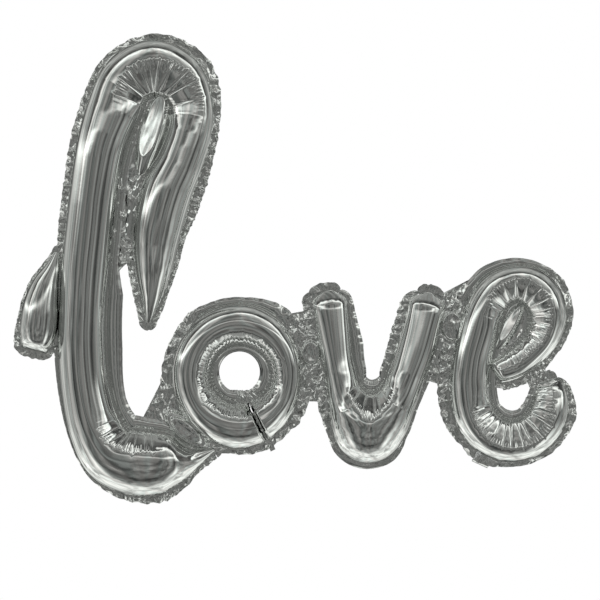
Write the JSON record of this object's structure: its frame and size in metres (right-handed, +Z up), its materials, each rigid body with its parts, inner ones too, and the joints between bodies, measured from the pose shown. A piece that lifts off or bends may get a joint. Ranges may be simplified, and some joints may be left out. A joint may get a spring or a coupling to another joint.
{
  "type": "script word foil balloon",
  "caption": "Inflated one-piece metallised film balloon in the shape of a joined script word, with a sealed rim, a filling valve and a folded filling tail.",
  "frame": {"origin": "centre of the bounding box, in the seam plane between the two film panels", "axes": "+X along the word from its first letter to its last, +Y to the back, away from the reader, +Z up"},
  "size_m": [0.7193, 0.0768, 0.6018],
  "materials": {
    "silver_film": "mirror-like metallised film, slightly grey",
    "tail_film": "mirror-like metallised film, creased",
    "valve_film": "thin cloudy polyethylene film"
  },
  "bodies": {
    "balloon": {"front_film": "silver_film", "back_film": "silver_film", "valve_front_ply": "valve_film", "valve_back_ply": "valve_film"},
    "tail": {"tail_front_ply": "tail_film", "tail_back_ply": "tail_film"}
  },
  "joints": [
    {"name": "tail_fold", "type": "hinge", "parent": "balloon", "child": "tail", "pos_m": [0.2367, 0, -0.24995], "axis": [0.9089, 0, -0.417], "range_deg": [-90, 30]}
  ]
}
